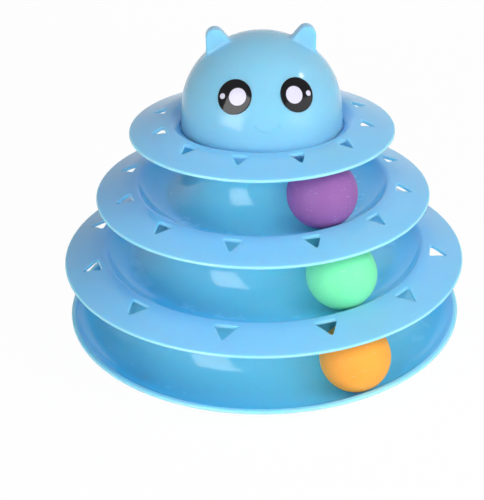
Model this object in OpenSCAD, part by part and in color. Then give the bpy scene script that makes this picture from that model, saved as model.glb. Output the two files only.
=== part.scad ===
// A cat ball track toy: a tower of three ring tracks with a loose ball in each,
// a vented disc on top and a hollow cat head. Millimetres, +Z up, the origin on the
// floor under the middle of the tower, and the face looks along -Y.

/* [Tiers] */
// Diameter over the brim of the middle track, the widest piece
brim_d = 245; // [225:1:300]
// How much smaller in radius each brim is than the one below it
brim_step = 22.2; // [18:0.2:26]
// Height from the floor of one track to the floor of the next
tier_pitch = 40.5; // [39.5:0.5:48]
// Height of the lowest track's floor above the ground
floor_h = 5; // [5:0.5:8]
// Wall of every moulded shell
wall = 2; // [1.6:0.1:2.4]

/* [Balls] */
// Diameter of each loose ball
ball_d = 40; // [34:0.5:41]
// Wall of the hollow balls
ball_wall = 1.2; // [0.8:0.1:2]
// How much larger in radius a track's hollow is than a ball
ball_play = 1.2; // [0.8:0.1:2]
// Angle from the face to the ball in the lowest track, to the right
orange_angle = 25.7; // [-180:0.1:180]
// Angle from the face to the ball in the middle track
green_angle = 29; // [-180:0.1:180]
// Angle from the face to the ball in the upper track
purple_angle = 31; // [-180:0.1:180]

/* [Track section] */
// Angle that the hollow of a track turns up towards its brim
track_turn = 49; // [44:1:52]
// Radius of the inner shoulder of each crest
crest_in_r = 4; // [3:0.5:6]
// Radius of the outer shoulder of each crest, where it runs into the brim
crest_out_r = 30; // [20:1:40]
// Width of a brim from its crest to its edge
brim_w = 23; // [18:0.5:26]
// Downward slope of a brim
brim_slope = 17; // [12:1:20]
// Lean of a hub's wall from upright
draft = 2; // [1:0.5:4]

/* [Base lip] */
// Width of the lip from its top out to its edge
lip_w = 1.9; // [1.3:0.1:4]
// Angle that the hollow of the lowest track turns up towards its lip
lip_turn = 46; // [40:1:48]
// Radius of the lip's rolled top
lip_r = 3; // [2.5:0.5:4]

/* [Vents] */
// Number of vents in each brim
vent_n = 12; // [6:1:16]
// Width of the triangular vents in the middle track, which point outwards
middle_vent_w = 14.6; // [9:0.1:17]
// Length of those vents
middle_vent_l = 10.9; // [8:0.1:13]
// Width of the vents in the upper track
upper_vent_w = 11.7; // [8:0.1:14]
// Length of those vents
upper_vent_l = 10.2; // [7:0.1:12]
// Width of the vents in the top disc
disc_vent_w = 10.2; // [7:0.1:12]
// Length of those vents
disc_vent_l = 8.9; // [6:0.1:11]
// Distance from a crest out to the inner side of its vents
vent_gap = 3.2; // [2:0.1:5]
// Radius of a vent's corners
vent_corner_r = 0.9; // [0.5:0.1:1.2]

/* [Stacking fit] */
// Gap all round each skirt and key
fit = 0.3; // [0.2:0.05:0.5]
// Depth of the skirt that plugs into the piece below
skirt_h = 5; // [3:0.5:7]
// Number of keys that line the pieces up
key_n = 3; // [2:1:4]
// Width of a key
key_w = 6; // [4:0.5:8]
// How far a key stands out of its skirt
key_d = 1.1; // [0.8:0.1:1.2]
// How much shorter a key is than its skirt
key_in = 1; // [0.5:0.1:2]

/* [Top disc] */
// How much higher the head's seat lies than the floor of one more track would
disc_rise = 2; // [1.5:0.5:6]
// Height of the disc's crest above the head's seat
disc_crest_h = 5.5; // [5:0.5:8]
// Distance from the recess that holds the head out to the disc's crest
crest_out = 6.8; // [4.5:0.1:9]
// Slope from the crest down to the head's seam
recess_slope = 33; // [25:1:40]
// Gap round the foot of the head
seam = 0.5; // [0.3:0.1:0.8]

/* [Head] */
// Radius of the dome at its widest
dome_r = 47; // [45:0.2:50]
// How much wider in radius the head's foot is than the dome
foot_flare = 0.8; // [0.2:0.1:1.5]
// Height of the dome's widest place above its seat
dome_z = 10.5; // [8:0.5:14]
// Height of the dome above its widest place
dome_h = 45.4; // [40:0.2:50]
// Distance between the outer edges of the ears
ears_w = 62.5; // [56:0.5:66]
// Height of the ears' tips above the dome's top
ear_rise = 3.9; // [2:0.1:8]
// Radius of an ear's tip
ear_tip_r = 5.3; // [3:0.1:7]
// Steepness of an ear's inner edge
ear_slope = 50; // [45:1:65]
// Thickness of an ear from front to back
ear_t = 9; // [6:0.5:12]

/* [Eyes] */
// Diameter of each eye disc
eye_d = 19.4; // [16:0.1:22]
// Thickness of each eye disc
eye_t = 0.6; // [0.4:0.1:1]
// Angle from the middle of the face to each eye
eye_turn = 24.5; // [20:0.5:30]
// Height of the eyes up the dome, as an angle of its curve
eye_lift = 28.3; // [20:0.5:35]

/* [Foot pads] */
// Diameter of each pad
pad_d = 12; // [8:0.5:14]
// Width of the moulded rim round each pad
pad_rim_w = 1.5; // [1.2:0.1:2]
// Depth of the recess that holds each pad
pad_recess = 1.2; // [0.8:0.1:1.5]

/* [Hidden] */
$fn = 96;
// Angle between the points of a round outline
arc_step = 6;
// The same at the small corners of a vent
vent_step = 30;
// Distance that a cut runs past what it cuts
overrun = 1;
// Gap under a ball that lies in its track
ball_gap = 0.3;

// The section that all tracks share, with the track's floor at height zero
track_r = ball_d / 2 + ball_play;
crest_x = (track_r + crest_in_r) * sin(track_turn);
crest_z = track_r + crest_in_r - (track_r + crest_in_r) * cos(track_turn);
hub_top_z = tier_pitch - wall;
hub_run = track_r * cos(draft) + (hub_top_z - track_r + track_r * sin(draft)) * tan(draft);

// Radius of the middle of each track
middle_r = brim_d / 2 - brim_w - crest_x;
upper_r = middle_r - brim_step;
base_r = middle_r + brim_step;

// Height of each track's floor and of the head's seat
base_z = floor_h;
middle_z = base_z + tier_pitch;
upper_z = middle_z + tier_pitch;
disc_z = upper_z + tier_pitch + disc_rise;

// The head's foot, and the recess and the collar that hold it on the disc
foot_r = dome_r + foot_flare;
recess_r = foot_r + seam;
disc_crest_r = recess_r + crest_out;
recess_run = crest_out - crest_in_r * sin(recess_slope);
recess_top_z = disc_crest_h - crest_in_r * (1 - cos(recess_slope)) - recess_run * tan(recess_slope);
head_lean_share = (skirt_h + overrun) / (dome_z + overrun);
head_in_r = foot_r - wall - foot_flare * head_lean_share;
collar_r = head_in_r - fit;

// The middle of an ear's tip, and the level inside the dome where the ear begins
ear_tip = [ears_w / 2 - ear_tip_r, dome_z + dome_h + ear_rise - ear_tip_r];
ear_root_share = 0.6;
ear_root_z = dome_z + dome_h * ear_root_share;

// The top of the lowest track's lip
lip_x = base_r + (track_r + lip_r) * sin(lip_turn);
lip_z = track_r - (track_r + lip_r) * cos(lip_turn) + lip_r;

// Number of rubber pads, each with its own node above, and the part of the wall's
// depth that their seats run up into
pad_n = 4;
pad_merge_share = 0.8;

// Points along a round stretch
function arc(c, r, from, to, step = arc_step) = let (n = ceil(abs(to - from) / step))
    [for (i = [0:n]) c + r * [cos(from + (to - from) * i / n), sin(from + (to - from) * i / n)]];

// The same points in the other order
function reversed(p) = [for (i = [len(p) - 1:-1:0]) p[i]];

// Radius of a hub's top, outside and inside, on a track of radius r
function hub_out_r(r) = r - hub_run;
function hub_in_r(r) = hub_out_r(r) - wall / cos(draft);

// Outer radius of the skirt that plugs into the hub of the track of radius r
function skirt_r(r) = hub_in_r(r) - fit;

// One face of a track's hollow and hub, a distance d under its upper face
function hollow_face(r, turn, d) = concat(
    arc([r, track_r], track_r + d, turn - 90, draft - 180),
    [[hub_out_r(r) - d / cos(draft), hub_top_z]]
);

// One face of a brim and its crest, a distance d under its upper face, up to the
// angle where the inner shoulder ends. The crest's top is at [x, z].
function brim_face(x, z, turn, d) = concat(
    arc([x, z - crest_out_r], crest_out_r - d, 90 - brim_slope, 90),
    arc([x, z - crest_in_r], crest_in_r - d, 90, 90 + turn)
);

// The middle of the rounded edge of a brim that reaches radius r
function edge_middle(x, z, r) = let (
        normal = [sin(brim_slope), cos(brim_slope)],
        start = [x, z - crest_out_r] + (crest_out_r - wall / 2) * normal,
        run = (r - wall / 2 - start.x) / cos(brim_slope)
    ) start + run * [cos(brim_slope), -sin(brim_slope)];

// The rounded edge itself, from the lower face to the upper one
function brim_edge(x, z, r) =
    arc(edge_middle(x, z, r), wall / 2, -90 - brim_slope, 90 - brim_slope);

// Whole outline of a track with a brim
function track_outline(r) = concat(
    brim_edge(r + crest_x, crest_z, r + crest_x + brim_w),
    brim_face(r + crest_x, crest_z, track_turn, 0),
    hollow_face(r, track_turn, 0),
    reversed(hollow_face(r, track_turn, wall)),
    reversed(brim_face(r + crest_x, crest_z, track_turn, wall))
);

// Whole outline of the lowest track, whose hollow ends in a low rolled lip
function base_outline() = concat(
    arc([lip_x + lip_w - wall / 2, lip_z - wall / 2], wall / 2, -90, 90),
    arc([lip_x, lip_z - lip_r], lip_r, 90, 90 + lip_turn),
    hollow_face(base_r, lip_turn, 0),
    reversed(hollow_face(base_r, lip_turn, wall)),
    reversed(arc([lip_x, lip_z - lip_r], lip_r - wall, 90, 90 + lip_turn))
);

// Whole outline of the top disc, with the recess for the head and the plate under it.
// The plate is as wide as the recess, or as the hub below where that is wider.
function disc_outline() = let (
        plate_in_r = min(skirt_r(upper_r), collar_r) - wall,
        wall_r = recess_r + wall,
        hub_r = hub_out_r(upper_r)
    ) concat(
    brim_edge(disc_crest_r, disc_crest_h, disc_crest_r + brim_w),
    brim_face(disc_crest_r, disc_crest_h, recess_slope, 0),
    [
        [recess_r, recess_top_z],
        [recess_r, 0],
        [plate_in_r, 0],
        [plate_in_r, -wall]
    ],
    hub_r > wall_r ? [[hub_r, -wall], [hub_r, 0], [wall_r, 0]] : [[wall_r, -wall]],
    [[wall_r, recess_top_z + wall * tan(recess_slope) - wall / cos(recess_slope)]],
    reversed(brim_face(disc_crest_r, disc_crest_h, recess_slope, wall))
);

// Height of the lower face of a hollow, a distance x from the track's middle
function under_z(x) = track_r - sqrt(pow(track_r + wall, 2) - pow(x, 2));

// Points of a triangular vent with rounded corners, its inner side on the Y axis and
// its point along +X
function vent_outline(width, length) = let (
        base_angle = atan(length / (width / 2)),
        half = width / 2 - vent_corner_r / tan(base_angle / 2)
    ) concat(
    arc([length - vent_corner_r / cos(base_angle), 0], vent_corner_r, -base_angle, base_angle, vent_step),
    arc([vent_corner_r, half], vent_corner_r, base_angle, 180, vent_step),
    arc([vent_corner_r, -half], vent_corner_r, 180, 360 - base_angle, vent_step)
);

// The cutters for one ring of vents in a brim whose crest is at radius r and height z
module vents(width, length, r, z) {
    for (i = [0:vent_n - 1])
        rotate((i + 1 / 2) * 360 / vent_n - 90) translate([r + vent_gap, 0, 0])
            linear_extrude(z + overrun)
                polygon(vent_outline(width, length));
}

// Blocks spaced round a ring, for the keys and for the notches that take them
module key_blocks(r, reach, width, z, h) {
    for (i = [0:key_n - 1])
        rotate(i * 360 / key_n + 90) translate([r, -width / 2, z])
            cube([reach, width, h]);
}

// The seat, at height z, and the keyed skirt of a piece that plugs into the hub of
// the track of radius r. They run up to seat_top and skirt_top, inside the piece.
module plug(r, z, seat_top, skirt_top) {
    inner = skirt_r(r) - wall;
    rotate_extrude() {
        translate([inner, z])
            square([hub_out_r(r) - inner, seat_top - z]);
        translate([inner, z - skirt_h])
            square([wall, skirt_top - z + skirt_h]);
    }
    key_blocks(
        inner + wall / 2, wall / 2 + key_d, key_w,
        z - skirt_h + key_in, seat_top - z + skirt_h - key_in
    );
}

// The notches in the top of a hub for the keys of the piece above it
module hub_notches(r) {
    key_blocks(
        hub_in_r(r) - overrun, overrun + key_d, key_w + 2 * fit,
        hub_top_z - skirt_h + key_in - fit, skirt_h - key_in + fit + overrun
    );
}

// A ring track with its hub, vented brim and plug, its floor at height zero
module track(r, vent_w, vent_l) {
    skirt_in_x = r - skirt_r(r + brim_step) + wall;
    skirt_far_x = max(abs(skirt_in_x), abs(skirt_in_x - wall));
    difference() {
        union() {
            rotate_extrude() polygon(track_outline(r));
            plug(r + brim_step, -wall, -wall / 2, under_z(skirt_far_x) + wall / 2);
        }
        vents(vent_w, vent_l, r + crest_x, crest_z);
        hub_notches(r);
    }
}

module middle_track() {
    color("#66baee") translate([0, 0, middle_z]) track(middle_r, middle_vent_w, middle_vent_l);
}

module upper_track() {
    color("#6fc0f0") translate([0, 0, upper_z]) track(upper_r, upper_vent_w, upper_vent_l);
}

// Places its children under the lowest track, at the seat of pad i
module at_pad(i) {
    rotate((i - 1 / 2) * 360 / pad_n) translate([base_r, 0, 0]) children();
}

// The lowest track, with a lip in place of a brim and a moulded seat for each pad
module base_track() {
    seat_z = -wall - pad_recess;
    color("#5cb4ea") translate([0, 0, base_z]) difference() {
        union() {
            rotate_extrude() polygon(base_outline());
            for (i = [1:pad_n]) at_pad(i) translate([0, 0, seat_z])
                cylinder(d = pad_d + 2 * fit + 2 * pad_rim_w, h = pad_recess + wall * pad_merge_share);
        }
        for (i = [1:pad_n]) at_pad(i) translate([0, 0, seat_z - overrun])
            cylinder(d = pad_d + 2 * fit, h = pad_recess + overrun);
        hub_notches(base_r);
    }
}

// A rubber pad in its seat, standing on the ground
module foot_pad(i) {
    color("#3a3d42") at_pad(i) cylinder(d = pad_d, h = base_z - wall);
}

// The vented disc on top, with a recess and a keyed collar for the head
module top_disc() {
    color("#78c6f2") translate([0, 0, disc_z]) {
        difference() {
            rotate_extrude() polygon(disc_outline());
            vents(disc_vent_w, disc_vent_l, disc_crest_r, disc_crest_h);
        }
        plug(upper_r, -wall - disc_rise, -wall / 2, -wall / 2);
        rotate_extrude() translate([collar_r - wall, -wall / 2]) square([wall, skirt_h + wall / 2]);
        key_blocks(
            collar_r - wall / 2, wall / 2 + key_d, key_w,
            -wall / 2, skirt_h - key_in + wall / 2
        );
    }
}

// The dome as a solid, grown by a distance d all over, from the level foot_z up
module dome(d, foot_z) {
    steps = ceil(90 / arc_step);
    rotate_extrude() polygon(concat(
        [[0, foot_z], [foot_r + d, foot_z]],
        [for (i = [0:steps]) let (a = 90 * i / steps)
            [(dome_r + d) * cos(a), dome_z + (dome_h + d) * sin(a)]]
    ));
}

// One ear on the +X side, flat in front, upright outside and sloping inside, shrunk
// by a distance d all over
module ear(d) {
    slope_end = ear_tip + (ear_tip_r - d) * [-sin(ear_slope), cos(ear_slope)];
    root_x = slope_end.x - (slope_end.y - ear_root_z) / tan(ear_slope);
    translate([0, ear_t / 2 - d, 0]) rotate([90, 0, 0])
        linear_extrude(ear_t - 2 * d)
            polygon(concat(
                arc(ear_tip, ear_tip_r - d, 0, 90 + ear_slope),
                [[root_x, ear_root_z], [ears_w / 2 - d, ear_root_z]]
            ));
}

// Both ears, shrunk by a distance d all over
module ears(d) {
    ear(d);
    mirror([1, 0, 0]) ear(d);
}

// The hollow head with its ears, and the notches in its foot for the collar's keys
module cat_head() {
    color("#80c9f4") translate([0, 0, disc_z]) difference() {
        union() {
            dome(0, 0);
            ears(0);
        }
        dome(-wall, -overrun);
        ears(wall);
        key_blocks(
            head_in_r - overrun, overrun + key_d, key_w + 2 * fit,
            -overrun, skirt_h - key_in + fit + overrun
        );
    }
}

// A thin glossy disc that lies on the dome, turned to one side of the face
module eye(turn) {
    lean = atan(tan(eye_lift) * dome_r / dome_h);
    color("#101014") translate([0, 0, disc_z]) intersection() {
        difference() {
            dome(eye_t, 0);
            dome(0, -overrun);
        }
        rotate(turn)
            translate([0, -dome_r * cos(eye_lift), dome_z + dome_h * sin(eye_lift)])
                rotate([90 - lean, 0, 0])
                    cylinder(d = eye_d, h = dome_r, center = true);
    }
}

module eye_left() { eye(-eye_turn); }

module eye_right() { eye(eye_turn); }

// A hollow ball that lies in the track of radius r, whose floor is at height z
module ball(r, z, turn) {
    rotate(turn) translate([0, -r, z + ball_gap + ball_d / 2]) difference() {
        sphere(d = ball_d);
        sphere(d = ball_d - 2 * ball_wall);
    }
}

module ball_orange() {
    color("#ffb45f") ball(base_r, base_z, orange_angle);
}

module ball_green() {
    color("#8cf5be") ball(middle_r, middle_z, green_angle);
}

module ball_purple() {
    color("#a573b9") ball(upper_r, upper_z, purple_angle);
}

base_track();
middle_track();
upper_track();
top_disc();
cat_head();
eye_left();
eye_right();
ball_orange();
ball_green();
ball_purple();
foot_pad(1);  // foot_pad_1
foot_pad(2);  // foot_pad_2
foot_pad(3);  // foot_pad_3
foot_pad(4);  // foot_pad_4
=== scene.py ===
# A cat ball track toy: three ring tracks that stack by keyed skirts, a loose ball in
# each, a vented disc on top and a hollow cat head with glossy eyes. Metres, +Z up.
import math

import bmesh
import bpy
import numpy as np
from mathutils import Matrix, Vector


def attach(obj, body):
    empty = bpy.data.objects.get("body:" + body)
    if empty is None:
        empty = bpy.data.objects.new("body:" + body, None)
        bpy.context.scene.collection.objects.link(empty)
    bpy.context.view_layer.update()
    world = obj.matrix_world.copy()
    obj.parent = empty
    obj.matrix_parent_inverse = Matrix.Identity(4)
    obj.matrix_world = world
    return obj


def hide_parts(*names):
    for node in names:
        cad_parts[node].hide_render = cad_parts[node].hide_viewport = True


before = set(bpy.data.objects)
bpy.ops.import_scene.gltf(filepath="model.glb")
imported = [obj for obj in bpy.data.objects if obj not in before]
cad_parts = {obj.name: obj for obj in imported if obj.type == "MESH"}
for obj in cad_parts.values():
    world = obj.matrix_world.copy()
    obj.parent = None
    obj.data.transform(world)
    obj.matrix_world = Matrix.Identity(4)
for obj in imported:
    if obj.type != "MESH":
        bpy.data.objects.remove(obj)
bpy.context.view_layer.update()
scene = bpy.context.scene
scene.view_settings.view_transform = "Standard"
MM = 0.001

# The camera stands in front of the toy and above it, a few degrees to the left of the
# face. Its place, lens and roll follow from the outlines of the rims.
camera_turn, camera_rise, camera_roll = (math.radians(a) for a in (3.5, 26.79, -0.785))
camera_aim = Vector((0, 0, 68.9 * MM))
camera_away = 626.45 * MM
back = Vector((
    -math.sin(camera_turn) * math.cos(camera_rise),
    -math.cos(camera_turn) * math.cos(camera_rise),
    math.sin(camera_rise),
))
level = Vector((math.cos(camera_turn), -math.sin(camera_turn), 0))
upright = back.cross(level)
right = math.cos(camera_roll) * level + math.sin(camera_roll) * upright
camera = bpy.data.objects.new("camera", bpy.data.cameras.new("camera"))
scene.collection.objects.link(camera)
camera.matrix_world = Matrix.Translation(camera_aim + camera_away * back) @ Matrix(
    (right, back.cross(right), back)
).transposed().to_4x4()
camera.data.sensor_width = 36
camera.data.lens = 73.13
camera.data.shift_x = -0.0424
camera.data.shift_y = -0.07
camera.data.clip_start = 0.02
scene.camera = camera


# The studio: an even white surround, a pale floor that keeps the toy's shadow, and
# soft boxes. Rays from the camera and reflections see the surround as plain white.
def wire(tree, kind, inputs=None, **settings):
    """One node of a tree. Inputs go by name or number to a value or another socket."""
    made = tree.nodes.new(kind)
    for key, value in settings.items():
        setattr(made, key, value)
    for key, value in (inputs or {}).items():
        if isinstance(value, bpy.types.NodeSocket):
            tree.links.new(value, made.inputs[key])
        else:
            made.inputs[key].default_value = value
    return made


def reckoned(tree, operation, *values):
    """The result of one sum on numbers or sockets."""
    return wire(
        tree, "ShaderNodeMath", dict(enumerate(values)), operation=operation
    ).outputs[0]


def mixed(tree, share, one, other):
    """A colour between two others, by a share from 0 to 1."""
    return wire(
        tree, "ShaderNodeMix", {0: share, 6: one, 7: other}, data_type="RGBA"
    ).outputs[2]


def noise(tree, place, scale, detail, rough=0.5):
    """A cloudy pattern over a place, from 0 to 1."""
    return wire(
        tree, "ShaderNodeTexNoise",
        {"Vector": place, "Scale": scale, "Detail": detail, "Roughness": rough},
    ).outputs[0]


def new_paint(name):
    """A new material, its empty tree and the place of a point in the piece."""
    paint = bpy.data.materials.new(name)
    paint.use_nodes = True
    tree = paint.node_tree
    tree.nodes.clear()
    return paint, tree, wire(tree, "ShaderNodeTexCoord").outputs["Object"]


def seen_plainly(tree):
    """1 for camera, glossy and transmission rays, and 0 for the light that they carry."""
    path = wire(tree, "ShaderNodeLightPath").outputs
    either = reckoned(tree, "MAXIMUM", path["Is Camera Ray"], path["Is Glossy Ray"])
    return reckoned(tree, "MAXIMUM", either, path["Is Transmission Ray"])


surround_light = 0.04
surround = bpy.data.worlds.new("studio_surround")
scene.world = surround
surround.use_nodes = True
tree = surround.node_tree
tree.nodes.clear()
lit = wire(
    tree, "ShaderNodeBackground", {"Color": (0.93, 0.97, 1.0, 1), "Strength": surround_light}
)
plain = wire(tree, "ShaderNodeBackground", {"Color": (1, 1, 1, 1), "Strength": 1.0})
both = wire(
    tree, "ShaderNodeMixShader",
    {0: seen_plainly(tree), 1: lit.outputs[0], 2: plain.outputs[0]},
)
wire(tree, "ShaderNodeOutputWorld", {0: both.outputs[0]})

floor_size = 6.0
floor_glow = 0.97
bpy.ops.mesh.primitive_grid_add(x_subdivisions=4, y_subdivisions=4, size=floor_size)
studio_floor = bpy.context.object
studio_floor.name = "studio_floor"
floor_paint, tree, place = new_paint("studio_floor_paint")
mottled = mixed(
    tree, noise(tree, place, 9.0, 3.0), (0.86, 0.87, 0.88, 1), (0.90, 0.905, 0.91, 1)
)
matt = wire(tree, "ShaderNodeBsdfDiffuse", {"Color": mottled})
glow = wire(tree, "ShaderNodeEmission", {"Color": (1, 1, 1, 1), "Strength": 1.0})
share = reckoned(tree, "MULTIPLY", seen_plainly(tree), floor_glow)
both = wire(
    tree, "ShaderNodeMixShader", {0: share, 1: matt.outputs[0], 2: glow.outputs[0]}
)
wire(tree, "ShaderNodeOutputMaterial", {0: both.outputs[0]})
studio_floor.data.materials.append(floor_paint)

toy_middle = Vector((0, 0, 0.09))
lamp_away = 1.5


def softbox(name, turn, rise, away, size, power, roll=0.0):
    """A rectangular soft light that looks at the toy from two angles and a distance,
    turned about its own axis."""
    turn, rise = math.radians(turn), math.radians(rise)
    flat = Vector((math.sin(turn), -math.cos(turn), 0)) * math.cos(rise)
    place = toy_middle + away * (flat + Vector((0, 0, math.sin(rise))))
    data = bpy.data.lights.new(name, "AREA")
    data.shape = "RECTANGLE"
    data.size, data.size_y = size
    data.energy = power
    made = bpy.data.objects.new(name, data)
    scene.collection.objects.link(made)
    look = (toy_middle - place).to_track_quat("-Z", "Y").to_matrix().to_4x4()
    made.matrix_world = Matrix.Translation(place) @ look @ Matrix.Rotation(roll, 4, "Z")
    return made


# Wide boxes light the toy and aren't seen in its gloss. Two stand in front, three to
# the right or above, and one behind.
for name, turn, rise, size, power in (
    ("key_light", 62, 32, (1.0, 0.8), 10.2),
    ("front_light", -21, 15, (1.0, 0.8), 13.6),
    ("left_light", -30, 36, (1.0, 0.8), 3.4),
    ("high_light", 36, 50, (1.0, 0.8), 6.4),
    ("low_light", 30, 15, (1.0, 0.8), 2.2),
    ("back_light", 172, 5, (1.4, 0.36), 12.0),
):
    softbox(name, turn, rise, lamp_away, size, power).visible_glossy = False

# A window, a low panel and a small lamp are seen in the gloss alone.
for name, turn, rise, away, size, power, roll in (
    ("window_light", -42, 20, 0.55, (0.30, 0.5), 5.2, -0.19),
    ("low_panel", 52, 12, 0.8, (0.6, 0.46), 2.6, -0.15),
    ("side_lamp", 88, 45, 1.0, (0.05, 0.05), 1.2, 0.0),
):
    softbox(name, turn, rise, away, size, power, roll).visible_diffuse = False


# The lowest track: an injection-moulded sky-blue ring, 2 mm thick, with the rolling
# hollow, the hub inside it and a low rolled lip. Three notches in the hub's top take
# the keys of the ring above, and four moulded rings under the floor hold the pads.
base_r = 102.7223
base_z = 5.0
ball_hollow_r = 21.2
wall = 2.0
hub_top_z = 38.5
hub_draft = 2.0
hub_run = 21.8187
hub_wall = wall / math.cos(math.radians(hub_draft))
hub_outer_edge_r = 0.5
hub_inner_edge_r = 0.4
lip_turn = 46.0
lip_r = 3.0
lip_w = 1.9
lip_x, lip_z = 120.1303, 7.3893
skirt_h = 5.0
skirt_gap = 0.3
key_count = 3
key_w = 6.0
key_d = 1.1
key_in = 1.0
stamp_reach = 1.0
sectors = 12
sector_steps = 24
first_sector = math.radians(180 / sectors - 90)
first_key = math.radians(90)
weld_gap = 0.004 * MM
sharp_bend = math.radians(40)


def arc(x, z, r, start, end, step=4.0):
    """Points along a round stretch of a section, from one angle to another."""
    n = max(1, math.ceil(abs(end - start) / step))
    turns = [math.radians(start + (end - start) * i / n) for i in range(n + 1)]
    return [(x + r * math.cos(a), z + r * math.sin(a)) for a in turns]


def line(start, end, step=2.5):
    """Points along a straight stretch, without its two ends."""
    n = max(1, math.ceil(math.dist(start, end) / step))
    return [tuple(a + (b - a) * i / n for a, b in zip(start, end)) for i in range(1, n)]


def rounded(before, corner, after, r):
    """Points round a corner of a section that has a small moulded radius."""
    p = Vector(corner)
    a, b = (Vector(before) - p).normalized(), (Vector(after) - p).normalized()
    half = a.angle(b) / 2
    middle = p + (a + b).normalized() * r / math.sin(half)
    start, end = (p + side * r / math.tan(half) - middle for side in (a, b))
    turn = start.angle_signed(end)
    return [tuple(middle + Matrix.Rotation(-turn * i / 3, 2) @ start) for i in range(4)]


def lifted(rows, z):
    """The same section at its height on the toy."""
    return [(radius, height + z) for radius, height in rows]


def hub_rows(r):
    """The section of a hub, from the hollow's upper face over the top to its lower one."""
    hub_out = r - hub_run
    hub_in = hub_out - hub_wall
    start = arc(r, ball_hollow_r, ball_hollow_r, hub_draft - 180, -180)[0]
    end = arc(r, ball_hollow_r, ball_hollow_r + wall, hub_draft - 180, -180)[0]
    shoulder = rounded(start, (hub_out, hub_top_z), (hub_in, hub_top_z), hub_outer_edge_r)
    inside = rounded((hub_out, hub_top_z), (hub_in, hub_top_z), end, hub_inner_edge_r)
    return line(start, shoulder[0]) + shoulder + inside + line(inside[-1], end)


def strip(rows, first=0, last=sector_steps):
    """The faces that a stretch of a section sweeps over some steps of a sector."""
    turn = math.radians(360 / sectors)
    angles = [turn * (j / sector_steps - 0.5) for j in range(first, last + 1)]
    verts = [(r * math.cos(a), r * math.sin(a), z) for r, z in rows for a in angles]
    width = len(angles)
    corners = [i * width + j for i in range(len(rows) - 1) for j in range(width - 1)]
    return verts, [(p, p + 1, p + width + 1, p + width) for p in corners]


def mesh_piece(name, *parts):
    """One object in millimetres made from lists of points and faces, seams welded."""
    verts, faces = [], []
    for points, sides in parts:
        faces += [tuple(len(verts) + i for i in side) for side in sides]
        verts += points
    mesh = bpy.data.meshes.new(name)
    mesh.from_pydata([tuple(c * MM for c in v) for v in verts], [], faces)
    work = bmesh.new()
    work.from_mesh(mesh)
    bmesh.ops.remove_doubles(work, verts=work.verts, dist=weld_gap)
    work.to_mesh(mesh)
    work.free()
    made = bpy.data.objects.new(name, mesh)
    scene.collection.objects.link(made)
    return made


def round_the_axis(tree, shape, count, first):
    """Copies of a shape, turned about the upright axis, as plain geometry."""
    step = reckoned(tree, "DIVIDE", 2 * math.pi, count)
    index = wire(tree, "GeometryNodeInputIndex").outputs[0]
    turn = reckoned(tree, "MULTIPLY_ADD", index, step, first)
    upright = wire(tree, "ShaderNodeCombineXYZ", {2: turn})
    spin = wire(tree, "FunctionNodeEulerToRotation", {0: upright.outputs[0]})
    points = wire(tree, "GeometryNodePoints", {"Count": count})
    copies = wire(
        tree, "GeometryNodeInstanceOnPoints",
        {"Points": points.outputs[0], "Instance": shape, "Rotation": spin.outputs[0]},
    )
    return wire(tree, "GeometryNodeRealizeInstances", {0: copies.outputs[0]}).outputs[0]


def named_tree(name, *sockets):
    """An empty geometry tree with named inputs, and the node that they come from."""
    tree = bpy.data.node_groups.new(name, "GeometryNodeTree")
    tree.interface.new_socket("Geometry", in_out="OUTPUT", socket_type="NodeSocketGeometry")
    for label, kind in (("Geometry", "Geometry"),) + sockets:
        tree.interface.new_socket(label, in_out="INPUT", socket_type="NodeSocket" + kind)
    return tree, wire(tree, "NodeGroupInput")


def close_tree(tree, shape, material, sharp_angle=None):
    """Ends a tree: smooth shading, sharp bends kept, plain geometry and its material."""
    smooth = wire(tree, "GeometryNodeSetShadeSmooth", {"Geometry": shape})
    if sharp_angle:
        bend = wire(tree, "GeometryNodeInputMeshEdgeAngle").outputs[0]
        sharp = reckoned(tree, "GREATER_THAN", bend, sharp_angle)
        smooth = wire(
            tree, "GeometryNodeSetShadeSmooth",
            {"Geometry": smooth.outputs[0], "Selection": sharp, "Shade Smooth": False},
            domain="EDGE",
        )
    real = wire(tree, "GeometryNodeRealizeInstances", {0: smooth.outputs[0]})
    painted = wire(
        tree, "GeometryNodeSetMaterial", {"Geometry": real.outputs[0], "Material": material}
    )
    wire(tree, "NodeGroupOutput", {0: painted.outputs[0]})


# A ring is its sector repeated round the axis, with the seams welded.
ring_tree, given = named_tree(
    "ring_of_sectors", ("Sectors", "Int"), ("First Angle", "Float"),
    ("Weld Gap", "Float"), ("Material", "Material"),
)
whole = round_the_axis(
    ring_tree, given.outputs["Geometry"], given.outputs["Sectors"], given.outputs["First Angle"]
)
welded = wire(
    ring_tree, "GeometryNodeMergeByDistance",
    {"Geometry": whole, "Distance": given.outputs["Weld Gap"]},
)
close_tree(ring_tree, welded.outputs[0], given.outputs["Material"])

# Keys, notches and pad seats are one stamp each, repeated round the axis and joined to
# the piece or cut out of it.
stamp_tree, given = named_tree(
    "stamped_round", ("Stamp", "Object"), ("Count", "Int"), ("First Angle", "Float"),
    ("Cut", "Bool"), ("Sharp Angle", "Float"), ("Material", "Material"),
)
stamp = wire(stamp_tree, "GeometryNodeObjectInfo", {"Object": given.outputs["Stamp"]})
stamps = round_the_axis(
    stamp_tree, stamp.outputs["Geometry"], given.outputs["Count"], given.outputs["First Angle"]
)
joined = wire(stamp_tree, "GeometryNodeMeshBoolean", operation="UNION", solver="MANIFOLD")
stamp_tree.links.new(given.outputs["Geometry"], joined.inputs["Mesh 2"])
stamp_tree.links.new(stamps, joined.inputs["Mesh 2"])
less = wire(
    stamp_tree, "GeometryNodeMeshBoolean",
    {"Mesh 1": given.outputs["Geometry"], "Mesh 2": stamps},
    operation="DIFFERENCE", solver="MANIFOLD",
)
chosen = wire(
    stamp_tree, "GeometryNodeSwitch",
    {"Switch": given.outputs["Cut"], "False": joined.outputs[0], "True": less.outputs[0]},
    input_type="GEOMETRY",
)
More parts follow.
